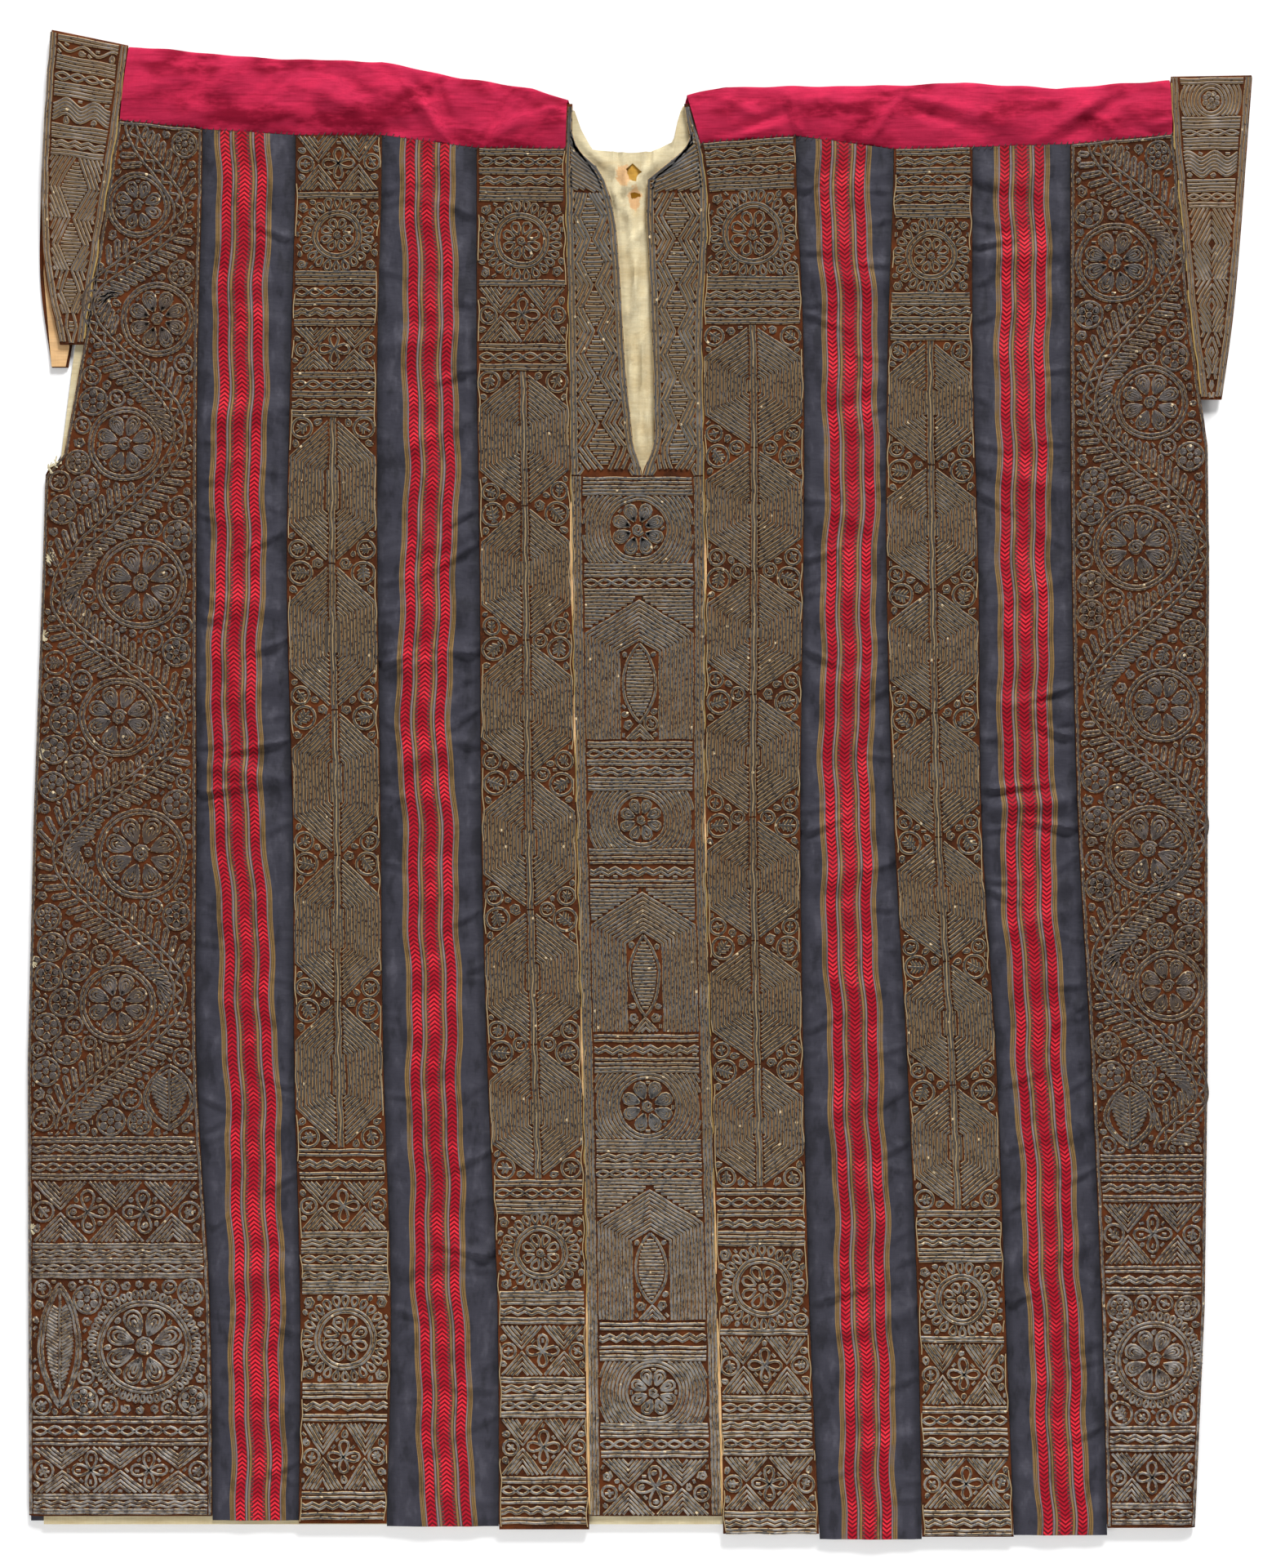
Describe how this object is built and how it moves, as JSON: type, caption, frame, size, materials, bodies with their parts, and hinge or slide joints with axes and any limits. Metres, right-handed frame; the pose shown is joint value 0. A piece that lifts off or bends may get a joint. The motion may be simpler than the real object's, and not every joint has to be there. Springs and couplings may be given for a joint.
{
  "type": "bridal tunic",
  "caption": "Straight bridal tunic laid flat, front up: corded velvet bands between striped silk ribbons, red shoulders, short sleeve bands and a slit neck; worn over the head.",
  "frame": {"origin": "centre of the outline on the surface that the tunic lies on", "axes": "+Y from the hem to the shoulders, +X to the viewer's right as seen from the front, +Z out of the front, away from the surface"},
  "size_m": [0.8253, 1.0174, 0.0077],
  "materials": {
    "velvet": "rust-brown velvet under tarnished metal cord",
    "ribbon": "dark blue silk with woven red, tan and grey stripes",
    "shoulder": "crimson plain weave",
    "lining": "cream cotton",
    "sleeve_lining": "tan cotton",
    "back": "dark blue cloth"
  },
  "bodies": {
    "root": {"back": "back", "back_lining": "lining", "front_lining": "lining", "center": "velvet", "band_inner_left": "velvet", "band_inner_right": "velvet", "band_outer_left": "velvet", "band_outer_right": "velvet", "ribbon_inner_left": "ribbon", "ribbon_inner_right": "ribbon", "ribbon_outer_left": "ribbon", "ribbon_outer_right": "ribbon", "side_left": "velvet", "side_right": "velvet", "shoulder_left": "shoulder", "shoulder_right": "shoulder", "sleeve_left": "velvet", "sleeve_right": "velvet", "sleeve_lining_left": "sleeve_lining"}
  },
  "joints": []
}
